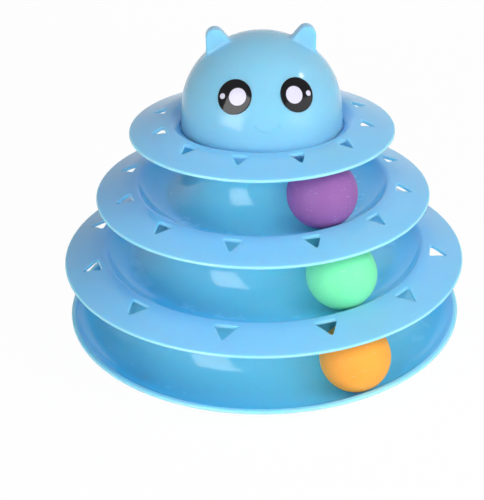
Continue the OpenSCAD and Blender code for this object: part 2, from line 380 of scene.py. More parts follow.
close_tree(
    stamp_tree, chosen.outputs[0], given.outputs["Material"], given.outputs["Sharp Angle"]
)


def add_tree(piece, tree, **values):
    """Puts a tree on a piece, with its inputs set by their sockets' identifiers."""
    made = piece.modifiers.new(tree.name, "NODES")
    made.node_group = tree
    for socket in tree.interface.items_tree:
        key = socket.name.replace(" ", "_").lower()
        if socket.in_out == "INPUT" and key in values:
            made[socket.identifier] = values[key]


def block(name, low, high):
    """A closed block between two corners, used as a stamp."""
    corners = [(x, y, z) for x in (0, 1) for y in (0, 1) for z in (0, 1)]
    verts = [tuple(a + (b - a) * s for a, b, s in zip(low, high, c)) for c in corners]
    sides = [(0, 1, 3, 2), (4, 6, 7, 5), (0, 4, 5, 1), (2, 3, 7, 6), (0, 2, 6, 4), (1, 5, 7, 3)]
    return mesh_piece(name, (verts, sides))


def turned(name, rows, at=0.0, steps=48):
    """A closed piece turned about an upright axis that stands a distance out along X."""
    verts, sides = [], []
    for r, z in rows:
        for j in range(steps):
            a = 2 * math.pi * j / steps
            verts.append((at + r * math.cos(a), r * math.sin(a), z))
    for i in range(len(rows) - 1):
        for j in range(steps):
            p, q = i * steps + j, i * steps + (j + 1) % steps
            sides.append((p, q, q + steps, p + steps))
    sides.append(tuple(range(steps))[::-1])
    sides.append(tuple(range(len(verts) - steps, len(verts))))
    return mesh_piece(name, (verts, sides))


def finished(piece, *stamps):
    """Works a piece's trees out into a plain mesh, and removes its stamps."""
    evening = piece.modifiers.new("even_faces", "WEIGHTED_NORMAL")
    evening.keep_sharp = True
    ready = piece.evaluated_get(bpy.context.evaluated_depsgraph_get())
    mesh = bpy.data.meshes.new_from_object(ready)
    mesh.name = piece.name
    piece.modifiers.clear()
    piece.data = mesh
    for stamp in stamps:
        bpy.data.objects.remove(stamp)


def moulded(ring, plastic, *stamps):
    """Makes a ring whole from its sector. Each stamp is joined to it or cut out of it,
    a number of times from a first angle."""
    add_tree(
        ring, ring_tree, sectors=sectors, first_angle=first_sector, weld_gap=weld_gap,
        material=plastic,
    )
    for stamp, count, first, cut in stamps:
        add_tree(
            ring, stamp_tree, stamp=stamp, count=count, first_angle=first, cut=cut,
            sharp_angle=sharp_bend, material=plastic,
        )
    finished(ring, *(stamp[0] for stamp in stamps))


def ramped(tree, value, low, high, start, end, blend="LINEAR"):
    """A value that runs from start to end while another runs from low to high."""
    return wire(
        tree, "ShaderNodeMapRange", {0: value, 1: low, 2: high, 3: start, 4: end},
        interpolation_type=blend,
    ).outputs[0]


def bumped(tree, height, strength, distance, **under):
    """The way that a surface with a slight relief faces."""
    return wire(
        tree, "ShaderNodeBump",
        {"Strength": strength, "Distance": distance, "Height": height, **under},
    ).outputs[0]


def shaded(paint, inputs):
    """Ends a material with its surface shader."""
    shader = wire(paint.node_tree, "ShaderNodeBsdfPrincipled", inputs)
    wire(paint.node_tree, "ShaderNodeOutputMaterial", {0: shader.outputs[0]})
    return paint


def sky_blue_plastic(name, rim_r=1000.0, crest_r=0.0, track_r=0.0, floor_z=0.0, dull=0.09):
    """Glossy injection-moulded plastic, paler along the thin rim, which is a painted
    highlight, and deeper in colour inside the crest, which is painted shade. It has soft
    flow marks, a fine grain, and round scuffs where a ball rolls on the track's floor."""
    paint, tree, place = new_paint(name)
    flat = wire(tree, "ShaderNodeVectorMath", {0: place, 1: (1, 1, 0)}, operation="MULTIPLY")
    radius = wire(
        tree, "ShaderNodeVectorMath", {0: flat.outputs[0]}, operation="LENGTH"
    ).outputs["Value"]
    height = wire(tree, "ShaderNodeSeparateXYZ", {0: place}).outputs[2]
    long = wire(tree, "ShaderNodeVectorMath", {0: place, 1: (9, 9, 26)}, operation="MULTIPLY")
    flow = noise(tree, long.outputs[0], 1.0, 3.0, 0.55)

    # A milder blue on the brims, a deeper one in the hollow that is painted shade, and a pale
    # rim that is a painted highlight.
    broad = mixed(tree, flow, (0.21, 0.515, 0.85, 1), (0.24, 0.565, 0.91, 1))
    # The deeper, clearer blue inside the crest is painted shade: it stands in for the tint of
    # shade and of light through the brims above.
    painted_shade_blue = mixed(tree, flow, (0.145, 0.56, 0.89, 1), (0.165, 0.61, 0.94, 1))
    inside = ramped(tree, radius, (crest_r - 7) * MM, crest_r * MM, 1.0, 0.0, "SMOOTHSTEP")
    body = mixed(tree, inside, broad, painted_shade_blue)
    # The paler rim is a painted highlight along the thin edge.
    rim = ramped(
        tree, radius, (rim_r - 1.1) * MM, (rim_r - 0.3) * MM, 0.0, 0.5, "SMOOTHSTEP"
    )
    with_painted_highlight = mixed(tree, rim, body, (0.42, 0.82, 1.0, 1))

    # The lane that a ball scuffs, a few millimetres to each side of the floor's middle.
    off = reckoned(tree, "ABSOLUTE", reckoned(tree, "SUBTRACT", radius, track_r * MM))
    near = ramped(tree, off, 2 * MM, 8 * MM, 1.0, 0.0, "SMOOTHSTEP")
    low = ramped(tree, height, (floor_z + 1) * MM, (floor_z + 4) * MM, 1.0, 0.0)
    lane = reckoned(tree, "MULTIPLY", near, low)
    patchy = ramped(tree, noise(tree, place, 60.0, 4.0), 0.42, 0.62, 0.15, 1.0)
    worn = reckoned(tree, "MULTIPLY", patchy, lane)
    haze = reckoned(tree, "MULTIPLY", worn, 0.08)

    # Gloss that changes with the flow marks, slight waves and a fine grain.
    sheen = ramped(tree, flow, 0.3, 0.7, dull, dull + 0.05)
    soft = bumped(tree, noise(tree, place, 38.0, 1.0), 0.06, 2 * MM)
    return shaded(paint, {
        "Base Color": mixed(tree, haze, with_painted_highlight, (0.32, 0.62, 0.85, 1)),
        "Roughness": reckoned(tree, "MULTIPLY_ADD", worn, 0.2, sheen),
        "Normal": bumped(tree, noise(tree, place, 1500.0, 2.0), 0.012, 0.2 * MM, Normal=soft),
        "IOR": 1.49, "Specular IOR Level": 0.2, "Subsurface Weight": 0.85,
        "Subsurface Radius": (0.2, 0.8, 1.0), "Subsurface Scale": 8 * MM,
    })


def base_rows():
    """The closed section of the lowest track, inwards over its upper face."""
    lip_middle = lip_z - lip_r
    tip = arc(lip_x + lip_w - wall / 2, lip_z - wall / 2, wall / 2, -90, 90, 22.0)
    upper = arc(lip_x, lip_middle, lip_r, 90, 90 + lip_turn, 8.0)
    upper += arc(base_r, ball_hollow_r, ball_hollow_r, lip_turn - 90, hub_draft - 180)[1:]
    under = ball_hollow_r + wall
    lower = arc(base_r, ball_hollow_r, under, hub_draft - 180, lip_turn - 90)
    lower += arc(lip_x, lip_middle, lip_r - wall, 90 + lip_turn, 90, 12.0)[1:]
    return upper + hub_rows(base_r) + lower + tip + [upper[0]]


def notch_block(r, floor_z):
    """The cut in a hub's top that takes one key of the piece above."""
    hub_in = r - hub_run - hub_wall
    top = floor_z + hub_top_z
    half = key_w / 2 + skirt_gap
    return block(
        "notch_stamp", (hub_in - stamp_reach, -half, top - skirt_h + key_in - skirt_gap),
        (hub_in + key_d, half, top + stamp_reach),
    )


pad_count = 4
pad_d = 12.0
pad_recess = 1.2
pad_rim_w = 1.5
first_pad = math.radians(45)
seat_edge_r = 0.4
seat_root = wall * 0.8
seat_z = base_z - wall - pad_recess
seat_in_r = pad_d / 2 + skirt_gap
seat_r = seat_in_r + pad_rim_w
seat_top_z = seat_z + pad_recess + seat_root
base_track = mesh_piece("base_track_moulding", strip(lifted(base_rows(), base_z)))
seat_rows = arc(seat_r - seat_edge_r, seat_z + seat_edge_r, seat_edge_r, -90, 0, 30.0)
seat = turned("seat_stamp", seat_rows + [(seat_r, seat_top_z)], base_r)
seat_hole = turned(
    "seat_hole_stamp", [(seat_in_r, seat_z - stamp_reach), (seat_in_r, base_z - wall)], base_r
)
notch = notch_block(base_r, base_z)
moulded(
    base_track, sky_blue_plastic("base_plastic", lip_x, lip_x, base_r, base_z),
    (seat, pad_count, first_pad, False), (seat_hole, pad_count, first_pad, True),
    (notch, key_count, first_key, True),
)
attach(base_track, "base")
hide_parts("base_track")


# Four rubber pads, pressed into their moulded rings under the lowest track. Each is a
# dark moulded button with a rounded foot and two shallow grip rings in its underside.
def dark_rubber(name):
    """Matt moulded rubber with a fine grain, dusty where it has touched a floor."""
    paint, tree, place = new_paint(name)
    height = wire(tree, "ShaderNodeSeparateXYZ", {0: place}).outputs[2]
    dust = noise(tree, place, 240.0, 4.0)
    foot = ramped(tree, height, 0.0, 0.8 * MM, 0.5, 0.0)
    dusty = reckoned(tree, "MULTIPLY", dust, foot)
    return shaded(paint, {
        "Base Color": mixed(tree, dusty, (0.035, 0.038, 0.045, 1), (0.21, 0.21, 0.2, 1)),
        "Roughness": ramped(tree, dust, 0.3, 0.7, 0.62, 0.82),
        "Normal": bumped(tree, noise(tree, place, 900.0, 3.0), 0.25, 0.2 * MM),
    })


pad_h = base_z - wall
pad_foot_r = 0.6
pad_top_r = 0.3
pad_rows = [(0.4, 0.0), (1.6, 0.0), (1.9, 0.3), (2.3, 0.3), (2.6, 0.0)]
pad_rows += [(3.6, 0.0), (3.9, 0.3), (4.3, 0.3), (4.6, 0.0)]
pad_rows += arc(pad_d / 2 - pad_foot_r, pad_foot_r, pad_foot_r, -90, 0, 18.0)
pad_rows += arc(pad_d / 2 - pad_top_r, pad_h - pad_top_r, pad_top_r, 0, 90, 30.0)
pads = turned("rubber_pads", pad_rows + [(0.4, pad_h)], base_r)
rubber = dark_rubber("pad_rubber")
add_tree(
    pads, ring_tree, sectors=pad_count, first_angle=first_pad, weld_gap=weld_gap,
    material=rubber,
)
finished(pads)
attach(pads, "base")
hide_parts(*(f"foot_pad_{i + 1}" for i in range(pad_count)))


# The middle and the upper track: moulded rings of the same kind, each a step smaller,
# with a crest and a wide sloping brim that has twelve vents. A skirt with three keys
# under each plugs into the hub of the ring below.
step_out = 22.2
middle_r, middle_z = 80.5223, 45.5
upper_r, upper_z = 58.3223, 86.0
crest_turn = 49.0
crest_in_r = 4.0
crest_out_r = 30.0
crest_x = 19.0187
crest_z = 8.6672
brim_w = 23.0
brim_slope = 17.0
vent_gap = 3.2
vent_corner_r = 0.9
vent_room_in = 1.8
vent_room_out = 1.4
vent_steps = 12
vent_rows = 6
vent_side_steps = 8
vent_fade_steps = 5
moulded_edge_r = 0.3
key_root = wall * 0.75


def brim_height(x, z, drop):
    """Height of a brim's upper face, or of the one a wall below it, at a radius."""
    lean = math.radians(brim_slope)
    reach = crest_out_r - drop
    bend = Vector((x, z - crest_out_r)) + reach * Vector((math.sin(lean), math.cos(lean)))

    def height(radius):
        if radius < bend.x:
            return z - crest_out_r + math.sqrt(reach ** 2 - (radius - x) ** 2)
        return bend.y - (radius - bend.x) * math.tan(lean)

    return height


def rim_rows(x, z, far):
    """The section of a brim outside its vents, from the lower face to the upper one."""
    lean = math.radians(brim_slope)
    along = Vector((math.cos(lean), -math.sin(lean)))
    out = Vector((math.sin(lean), math.cos(lean)))
    start = Vector((x, z - crest_out_r)) + (crest_out_r - wall / 2) * out
    edge = start + along * (x + brim_w - wall / 2 - start.x) / math.cos(lean)
    tip = arc(edge.x, edge.y, wall / 2, -90 - brim_slope, 90 - brim_slope, 20.0)
    low = (far, brim_height(x, z, wall)(far))
    high = (far, brim_height(x, z, 0)(far))
    return [low] + line(low, tip[0]) + tip + line(tip[-1], high) + [high]


def vent_ring(width, length, start_r, grow):
    """A ring of points round a vent with rounded corners, grown all over. The vent's
    inner side is at start_r and it points outwards along X."""
    lean = math.atan2(length, width / 2)
    half = width / 2 - vent_corner_r / math.tan(lean / 2)
    b = math.degrees(lean)
    corners = [
        # Each has four steps of a hair over a quarter, so that rounding adds no fifth.
        arc(x, y, vent_corner_r + grow, start, end, (end - start) / 3.999)
        for x, y, start, end in (
            (length - vent_corner_r / math.cos(lean), 0, -b, b),
            (vent_corner_r, half, b, 180),
            (vent_corner_r, -half, 180, 360 - b),
        )
    ]
    points = []
    for corner, after in zip(corners, corners[1:] + corners[:1]):
        ends = list(zip(corner[-1], after[0]))
        points += corner
        for i in range(1, vent_side_steps):
            points.append(tuple(p + (q - p) * i / vent_side_steps for p, q in ends))
    return [(start_r + x, y) for x, y in points[2:] + points[:2]]


def vent_parts(upper, lower, near, far, vent):
    """The faces of one sector between two radii, with a vent through the middle. Rings
    of points run in over the upper face, through the vent and out over the lower one."""
    rows = [near + (far - near) * i / vent_rows for i in range(vent_rows + 1)]
    first = (sector_steps - vent_steps) // 2
    last = first + vent_steps
    parts = []
    for run in ([(r, upper(r)) for r in rows[::-1]], [(r, lower(r)) for r in rows]):
        parts += [strip(run, 0, first), strip(run, last, sector_steps)]
    half = math.radians(180 / sectors) * vent_steps / sector_steps
    quarter = vent_steps // 2
    edge = [(far, half * k / quarter) for k in range(quarter)]
    edge += [(r, half) for r in rows[::-1]][:-1]
    edge += [(near, half * (1 - k / quarter)) for k in range(vent_steps)]
    edge += [(r, -half) for r in rows][:-1]
    edge += [(far, half * (k / quarter - 1)) for k in range(quarter)]
    outer = [(r * math.cos(a), r * math.sin(a)) for r, a in edge]
    support = vent_ring(*vent, 3 * moulded_edge_r)
    flat = [
        [
            tuple(p + (q - p) * t / vent_fade_steps for p, q in zip(o, s))
            for o, s in zip(outer, support)
        ]
        for t in range(vent_fade_steps + 1)
    ]
    rings = [(ring, upper, 0.0) for ring in flat]
    bend = [math.radians(30 * i) for i in range(4)]
    for face, sign, turns in ((upper, -1, bend), (lower, 1, bend[::-1])):
        for a in turns:
            grown = vent_ring(*vent, moulded_edge_r * (1 - math.sin(a)))
            rings.append((grown, face, sign * moulded_edge_r * (1 - math.cos(a))))
    rings += [(ring, lower, 0.0) for ring in flat[::-1]]
    verts = [(x, y, face(math.hypot(x, y)) + off) for ring, face, off in rings for x, y in ring]
    count = len(outer)
    sides = []
    for i in range(len(rings) - 1):
        for k in range(count):
            p, q = i * count + k, i * count + (k + 1) % count
            sides.append((p, q, q + count, p + count))
    return parts + [(verts, sides)]


def skirt_radius(r):
    """Radius of the skirt under a track, which plugs into the hub of the ring below."""
    return r - hub_run - hub_wall + step_out - skirt_gap


def track_rows(r, near):
    """The section of a track inside its vents, from the upper face to the lower one."""
    x = r + crest_x
    skirt_r, seat_r = skirt_radius(r), r - hub_run + step_out
    start = math.degrees(math.acos((near - x) / crest_out_r))
    end = math.degrees(math.acos((near - x) / (crest_out_r - wall)))
    upper = arc(x, crest_z - crest_out_r, crest_out_r, start, 90)
    upper += arc(x, crest_z - crest_in_r, crest_in_r, 90, 90 + crest_turn, 7.0)[1:]
    upper += arc(r, ball_hollow_r, ball_hollow_r, crest_turn - 90, hub_draft - 180)[1:]
    under = ball_hollow_r + wall
    skirt_a = -90 - math.degrees(math.asin((r - skirt_r + wall) / under))
    seat_a = -90 + math.degrees(math.asin((seat_r - r) / under))
    inner = arc(r, ball_hollow_r, under, hub_draft - 180, skirt_a)
    foot = (skirt_r - wall, -wall - skirt_h), (skirt_r, -wall - skirt_h)
    seat = (skirt_r, -wall)
    skirt = rounded(inner[-1], *foot, moulded_edge_r) + rounded(*foot, seat, moulded_edge_r)
    outer = arc(r, ball_hollow_r, under, seat_a, crest_turn - 90)
    outer += arc(x, crest_z - crest_in_r, crest_in_r - wall, 90 + crest_turn, 90, 12.0)[1:]
    outer += arc(x, crest_z - crest_out_r, crest_out_r - wall, 90, end)[1:]
    return upper + hub_rows(r) + inner + skirt + [seat, (seat_r, -wall)] + outer


def key_block(skirt_r, foot_z, top_z):
    """One key that stands out of a skirt."""
    return block(
        "key_stamp", (skirt_r - wall / 2, -key_w / 2, foot_z),
        (skirt_r + key_d, key_w / 2, top_z),
    )


def vented_ring(name, rows, crest_r, crest_top, vent_w, vent_l):
    """A sector of a ring: its section inside the vents, the vent, and the brim's edge."""
    vent_start = crest_r + vent_gap
    near, far = vent_start - vent_room_in, vent_start + vent_l + vent_room_out
    faces = brim_height(crest_r, crest_top, 0), brim_height(crest_r, crest_top, wall)
    return mesh_piece(
        name, strip(rows(near)), strip(rim_rows(crest_r, crest_top, far)),
        *vent_parts(*faces, near, far, (vent_w, vent_l, vent_start)),
    )


for size, r, floor_z, vent_w, vent_l in (
    ("middle", middle_r, middle_z, 14.6, 10.9), ("upper", upper_r, upper_z, 11.7, 10.2),
):
    crest_r = r + crest_x
    track = vented_ring(
        size + "_track_moulding", lambda near: lifted(track_rows(r, near), floor_z),
        crest_r, crest_z + floor_z, vent_w, vent_l,
    )
    skirt_foot = floor_z - wall - skirt_h
    key = key_block(skirt_radius(r), skirt_foot + key_in, floor_z - key_root)
    moulded(
        track, sky_blue_plastic(size + "_plastic", crest_r + brim_w, crest_r, r, floor_z),
        (key, key_count, first_key, False),
        (notch_block(r, floor_z), key_count, first_key, True),
    )
    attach(track, size)
    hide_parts(size + "_track")


# The top disc: the smallest vented brim, moulded with a recess for the head, a low
# collar that the head drops over, and the keyed skirt that plugs into the upper hub.
disc_z = 128.5
disc_rise = 2.0
disc_crest_r = 55.1
disc_crest_z = 5.5
recess_r = 48.3
recess_slope = 33.0
recess_edge_z = 1.8534
collar_r = 45.08
disc_skirt_r = 34.17
disc_seat_r = 36.5
disc_vent_w = 10.2
disc_vent_l = 8.9
collar_key_root = wall * 0.5


def disc_rows(near):
    """The section of the disc inside its vents, from the upper face to the lower one.
    Each corner has the radius that it is moulded with."""
    x, z = disc_crest_r, disc_crest_z
    start = math.degrees(math.acos((near - x) / crest_out_r))
    end = math.degrees(math.acos((near - x) / (crest_out_r - wall)))
    slope = math.radians(recess_slope)
    foot, skirt_foot = -wall - disc_rise, -wall - disc_rise - skirt_h
    outer_r = recess_r + wall
    outer_z = recess_edge_z + wall * math.tan(slope) - wall / math.cos(slope)
    rows = arc(x, z - crest_out_r, crest_out_r, start, 90)
    rows += arc(x, z - crest_in_r, crest_in_r, 90, 90 + recess_slope, 7.0)[1:]
    corners = (
        (rows[-1], 0), ((recess_r, recess_edge_z), 0.6), ((recess_r, 0), 0.3),
        ((collar_r, 0), 0.3), ((collar_r, skirt_h), 0.4), ((collar_r - wall, skirt_h), 0.4),
        ((collar_r - wall, 0), 0.5), ((disc_skirt_r - wall, 0), 0.5),
        ((disc_skirt_r - wall, skirt_foot), 0.3), ((disc_skirt_r, skirt_foot), 0.3),
        ((disc_skirt_r, foot), 0.1), ((disc_seat_r, foot), 0.3), ((disc_seat_r, -wall), 0.3),
        ((outer_r, -wall), 0.5), ((outer_r, outer_z), 0.5),
    )
    under = arc(x, z - crest_in_r, crest_in_r - wall, 90 + recess_slope, 90, 12.0)
    points = [corner for corner, _ in corners] + [under[0]]
    for i in range(1, len(corners)):
        bend = rounded(points[i - 1], points[i], points[i + 1], corners[i][1])
        rows += line(rows[-1], bend[0], 4.0) + bend
    rows += under + arc(x, z - crest_out_r, crest_out_r - wall, 90, end)[1:]
    return rows


disc = vented_ring(
    "top_disc_moulding", lambda near: lifted(disc_rows(near), disc_z),
    disc_crest_r, disc_z + disc_crest_z, disc_vent_w, disc_vent_l,
)
skirt_key = key_block(
    disc_skirt_r, disc_z - wall - disc_rise - skirt_h + key_in, disc_z - key_root
)
collar_key = key_block(collar_r, disc_z - collar_key_root, disc_z + skirt_h - key_in)
moulded(
    disc, sky_blue_plastic("disc_plastic", disc_crest_r + brim_w),
    (skirt_key, key_count, first_key, False), (collar_key, key_count, first_key, False),
)
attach(disc, "disc")
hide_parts("top_disc")


# The cat head: one hollow moulding, 2 mm thick, with a dome, two flat-fronted ears and
# a faint smile pressed into its front. Its foot drops over the disc's collar, with
# three notches for the collar's keys.
dome_r = 47.0
dome_h = 45.4
dome_foot_z = 10.5
foot_flare = 0.8
ears_w = 62.5
ear_tip_r = 5.3
ear_rise = 3.9
ear_slope = 50.0
ear_t = 9.0
ear_edge_r = 1.2
ear_foot_z = 22.0
ear_blend_r = 2.4
foot_edge_r = 0.25
head_cell = 0.9
head_low, head_high = (-52, -52, -2), (52, 52, 66)
settling_steps = 12
settling_pull = 0.5
face_depth = 7.0
face_top_z = 30.0
skin_depth = 2.4
smile = [(-8.5, 145.6), (-5.0, 143.2), (-0.5, 142.1), (4.0, 142.9), (7.6, 145.2)]
smile_w = 0.75
smile_depth = 0.26
smile_points = 60


def soft_least(a, b, k):
    """The lesser of two distances, blended where they are nearly equal."""
    h = np.clip(0.5 + 0.5 * (b - a) / k, 0, 1)
    return b + (a - b) * h - k * h * (1 - h)


def head_distance(p):
    """How far points lie outside the head's moulded wall, in millimetres. The points
    are relative to the seat of the head on the disc."""
    x, y, z = p[:, 0], p[:, 1], p[:, 2]
    lift = np.maximum(z - dome_foot_z, 0)
    flare = foot_flare * np.clip(1 - z / dome_foot_z, 0, 1)
    reach = np.sqrt((x * x + y * y) / dome_r ** 2 + (lift / dome_h) ** 2)
    steep = np.sqrt((x * x + y * y) / dome_r ** 4 + lift * lift / dome_h ** 4)
    dome = (reach - 1) * reach / np.maximum(steep, 1e-6) - flare
    lean = math.radians(ear_slope)
    tip = (ears_w / 2 - ear_tip_r, dome_foot_z + dome_h + ear_rise - ear_tip_r)
    side_x, side_z = np.abs(x) - tip[0], z - tip[1]
    inner = -side_x * math.sin(lean) + side_z * math.cos(lean)
    round_r = np.hypot(np.maximum(side_x, 0), np.maximum(side_z, 0))
    wedge = np.where((side_x > 0) & (side_z > 0), round_r, np.maximum(side_x, inner))
    past = (side_z > side_x * math.tan(lean)) & (side_x <= 0)
    past &= side_z * math.sin(lean) + side_x * math.cos(lean) > 0
    wedge = np.where(past, np.hypot(side_x, side_z), wedge) - ear_tip_r
    slab = np.abs(y) - ear_t / 2
    near_edge = np.hypot(np.maximum(wedge + ear_edge_r, 0), np.maximum(slab + ear_edge_r, 0))
    ear = np.minimum(np.maximum(wedge, slab) + ear_edge_r, 0) + near_edge - ear_edge_r
    ear = np.maximum(ear, ear_foot_z - z)
    skin = soft_least(dome, ear, ear_blend_r)
    return -soft_least(-(np.abs(skin + wall / 2) - wall / 2), z, foot_edge_r)


def distance_slope(p):
    """The distance at each point, and the direction in which it grows."""
    step = 0.02
    here = head_distance(p)
    slope = np.stack(
        [head_distance(p + step * axis) - head_distance(p - step * axis) for axis in np.eye(3)],
        axis=1,
    ) / (2 * step)
    return here, slope


def skin_mesh(distance, low, high, cell):
    """Points and four-sided faces where a distance passes through zero on a grid."""
    axes = [np.arange(a, b, cell) for a, b in zip(low, high)]
    size = tuple(len(axis) for axis in axes)
    grid = np.stack(np.meshgrid(*axes, indexing="ij"), axis=-1).reshape(-1, 3)
    inside = (distance(grid) < 0).reshape(size)
    total = np.zeros(tuple(n - 1 for n in size), int)
    for i, j, k in np.ndindex(2, 2, 2):
        total += inside[i:size[0] - 1 + i, j:size[1] - 1 + j, k:size[2] - 1 + k]
    crossed = (total > 0) & (total < 8)
    number = np.full(crossed.shape, -1)
    cells = np.argwhere(crossed)
    number[crossed] = np.arange(len(cells))
    points = np.asarray(low) + (cells + 0.5) * cell
    faces = []
    for axis in range(3):
        one, two = (axis + 1) % 3, (axis + 2) % 3
        ahead = [slice(None)] * 3
        behind = [slice(None)] * 3
        behind[axis], ahead[axis] = slice(0, -1), slice(1, None)
        first, second = inside[tuple(behind)], inside[tuple(ahead)]
        spots = np.argwhere(first != second)
        spots = spots[(spots[:, one] > 0) & (spots[:, two] > 0)]
        outward = first[tuple(spots.T)]
        shift_one, shift_two = np.eye(3, dtype=int)[one], np.eye(3, dtype=int)[two]
        around = [spots - shift_one - shift_two, spots - shift_two, spots, spots - shift_one]
        quads = np.stack([number[tuple(c.T)] for c in around], axis=1)
        faces.append(np.where(outward[:, None], quads, quads[:, ::-1]))
    return points, np.concatenate(faces)


# The points settle evenly over the skin, and go back onto it after each step.
points, faces = skin_mesh(head_distance, head_low, head_high, head_cell)
pairs = np.concatenate([faces[:, [a, b]] for a, b in ((0, 1), (1, 2), (2, 3), (3, 0))])
for _ in range(settling_steps):
    total = np.zeros_like(points)
    count = np.zeros(len(points))
    for a, b in (pairs.T, pairs.T[::-1]):
        np.add.at(total, a, points[b])
        np.add.at(count, a, 1)
    points = points + settling_pull * (total / count[:, None] - points)
    here, slope = distance_slope(points)
    points -= (here / np.maximum((slope ** 2).sum(1), 0.1))[:, None] * slope

head_mesh = bpy.data.meshes.new("cat_head_moulding")
head_mesh.from_pydata(points.tolist(), [], faces.tolist())
work = bmesh.new()
work.from_mesh(head_mesh)
curve = np.polyfit([a for a, _ in smile], [z for _, z in smile], 2)
turns = np.linspace(smile[0][0], smile[-1][0], smile_points)
levels = np.polyval(curve, turns) - disc_z
spine = np.stack(
    [dome_r * np.sin(np.radians(turns)), -dome_r * np.cos(np.radians(turns)), levels], axis=1
)
spine[:, :2] *= np.sqrt(1 - (np.maximum(levels - dome_foot_z, 0) / dome_h) ** 2)[:, None]


def off_smile(p):
    """How far points lie from the line of the smile."""
    return np.sqrt(((p[:, None, :] - spine[None]) ** 2).sum(2)).min(1)


def on_face(p):
    """Which points lie on the outer skin of the face."""
    skin = np.hypot(*p[:, :2].T) > dome_r - skin_depth
    return skin & (p[:, 1] < -dome_r + face_depth) & (p[:, 2] < face_top_z)


# The mesh is made finer in two rounds near the smile, and the groove is pressed in.
for reach in (3.2, 2.0):
    places = np.array([v.co for v in work.verts])
    front = np.where(on_face(places))[0]
    close = set(front[off_smile(places[front]) < reach].tolist())
    work.verts.ensure_lookup_table()
    edges = [e for e in work.edges if e.verts[0].index in close and e.verts[1].index in close]
    bmesh.ops.subdivide_edges(work, edges=edges, cuts=1, use_grid_fill=True)
    work.verts.index_update()
places = np.array([v.co for v in work.verts])
here, slope = distance_slope(places)
front = on_face(places)
places[front] -= (here[:, None] * slope)[front]
dent = np.zeros(len(places))
dent[front] = smile_depth * np.exp(-(off_smile(places[front]) / smile_w) ** 2)
places -= dent[:, None] * slope
for vert, place in zip(work.verts, places):
    vert.co = (place + (0, 0, disc_z)) * MM
work.to_mesh(head_mesh)
work.free()
cat_head = bpy.data.objects.new("cat_head_moulding", head_mesh)
scene.collection.objects.link(cat_head)
head_in_r = collar_r + skirt_gap
half = key_w / 2 + skirt_gap
foot_notch = block(
    "foot_notch_stamp", (head_in_r - stamp_reach, -half, disc_z - stamp_reach),
    (head_in_r + key_d, half, disc_z + skirt_h - key_in + skirt_gap),
)
add_tree(
    cat_head, stamp_tree, stamp=foot_notch, count=key_count, first_angle=first_key, cut=True,
    sharp_angle=sharp_bend, material=sky_blue_plastic("head_plastic", dull=0.14),
)
finished(cat_head, foot_notch)
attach(cat_head, "head")
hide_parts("cat_head")


# The eyes: thin glossy black plastic discs, glued to the dome, each with a large white
# spot and a small one printed on it.
eye_d = 19.4
eye_t = 0.6
eye_sunk = 0.12
eye_turn = 24.5
eye_lift = 28.3
eye_edge_r = 0.35
eye_steps = 96
eye_face_rows = 20
eye_back_rows = 6
eye_start_depth = 5
large_spot_r = 4.9
small_spot_r = 1.6
spot_edge = 0.06
spot_white = (0.58, 0.56, 0.68, 1)
dome_middle = Vector((0, 0, disc_z + dome_foot_z))


def dome_point(turn, lift):
    """The point of the dome, and the way out of it, at two angles."""
    flat = Vector((math.sin(turn), -math.cos(turn), 0))
    point = flat * dome_r * math.cos(lift) + Vector((0, 0, dome_h * math.sin(lift)))
    out = flat * math.cos(lift) / dome_r + Vector((0, 0, math.sin(lift) / dome_h))
    return point + dome_middle, out.normalized()


def onto_dome(p, way):
    """The point where a line along a direction meets the dome, and the way out there."""
    scale = Vector((1 / dome_r, 1 / dome_r, 1 / dome_h))
    q = (p - dome_middle) * scale
    d = way * scale
    a, b, c = d.dot(d), q.dot(d), q.dot(q) - 1
    hit = p + way * (-b + math.sqrt(b * b - a * c)) / a
    out = (hit - dome_middle) * scale * scale
    return hit, out.normalized()


def closed_skin(name, verts, steps, from_foot=False):
    """A smooth piece made of a point, rings of points and a last point. They run from
    the top down, or from the foot up."""
    last = len(verts) - 1
    sides = []
    for j in range(steps):
        q = (j + 1) % steps
        sides.append((0, 1 + j, 1 + q))
        sides.append((last, last - steps + q, last - steps + j))
        for p in range(1, last - steps, steps):
            sides.append((p + j, p + steps + j, p + steps + q, p + q))
    if from_foot:
        sides = [side[:1] + side[:0:-1] for side in sides]
    made = mesh_piece(name, (verts, sides))
    for face in made.data.polygons:
        face.use_smooth = True
    return made


def eye_mesh(name, turn):
    """A disc that follows the dome, with a rounded edge and its foot in the dome."""
    point, out = dome_point(math.radians(turn), math.radians(eye_lift))
    across = Vector((0, 0, 1)).cross(out).normalized()
    up = out.cross(across)
    eye_r = eye_d / 2
    rows = [(eye_r * i / eye_face_rows, eye_t) for i in range(1, eye_face_rows)]
    rows += [
        (eye_r - eye_edge_r + r, eye_t - eye_edge_r + h)
        for r, h in arc(0, 0, eye_edge_r, 90, 0, 18.0)
    ]
    rows.append((eye_r, -eye_sunk))
    rows += [(eye_r * i / eye_back_rows, -eye_sunk) for i in range(eye_back_rows - 1, 0, -1)]
    verts = []
    for r, h in [(0.0, eye_t)] + rows + [(0.0, -eye_sunk)]:
        for j in range(eye_steps if r else 1):
            a = 2 * math.pi * j / eye_steps
            flat = point + (across * math.cos(a) + up * math.sin(a)) * r
            hit, way = onto_dome(flat - out * eye_start_depth, out)
            verts.append(tuple(hit + way * h))
    return closed_skin(name, verts, eye_steps), point, across, up


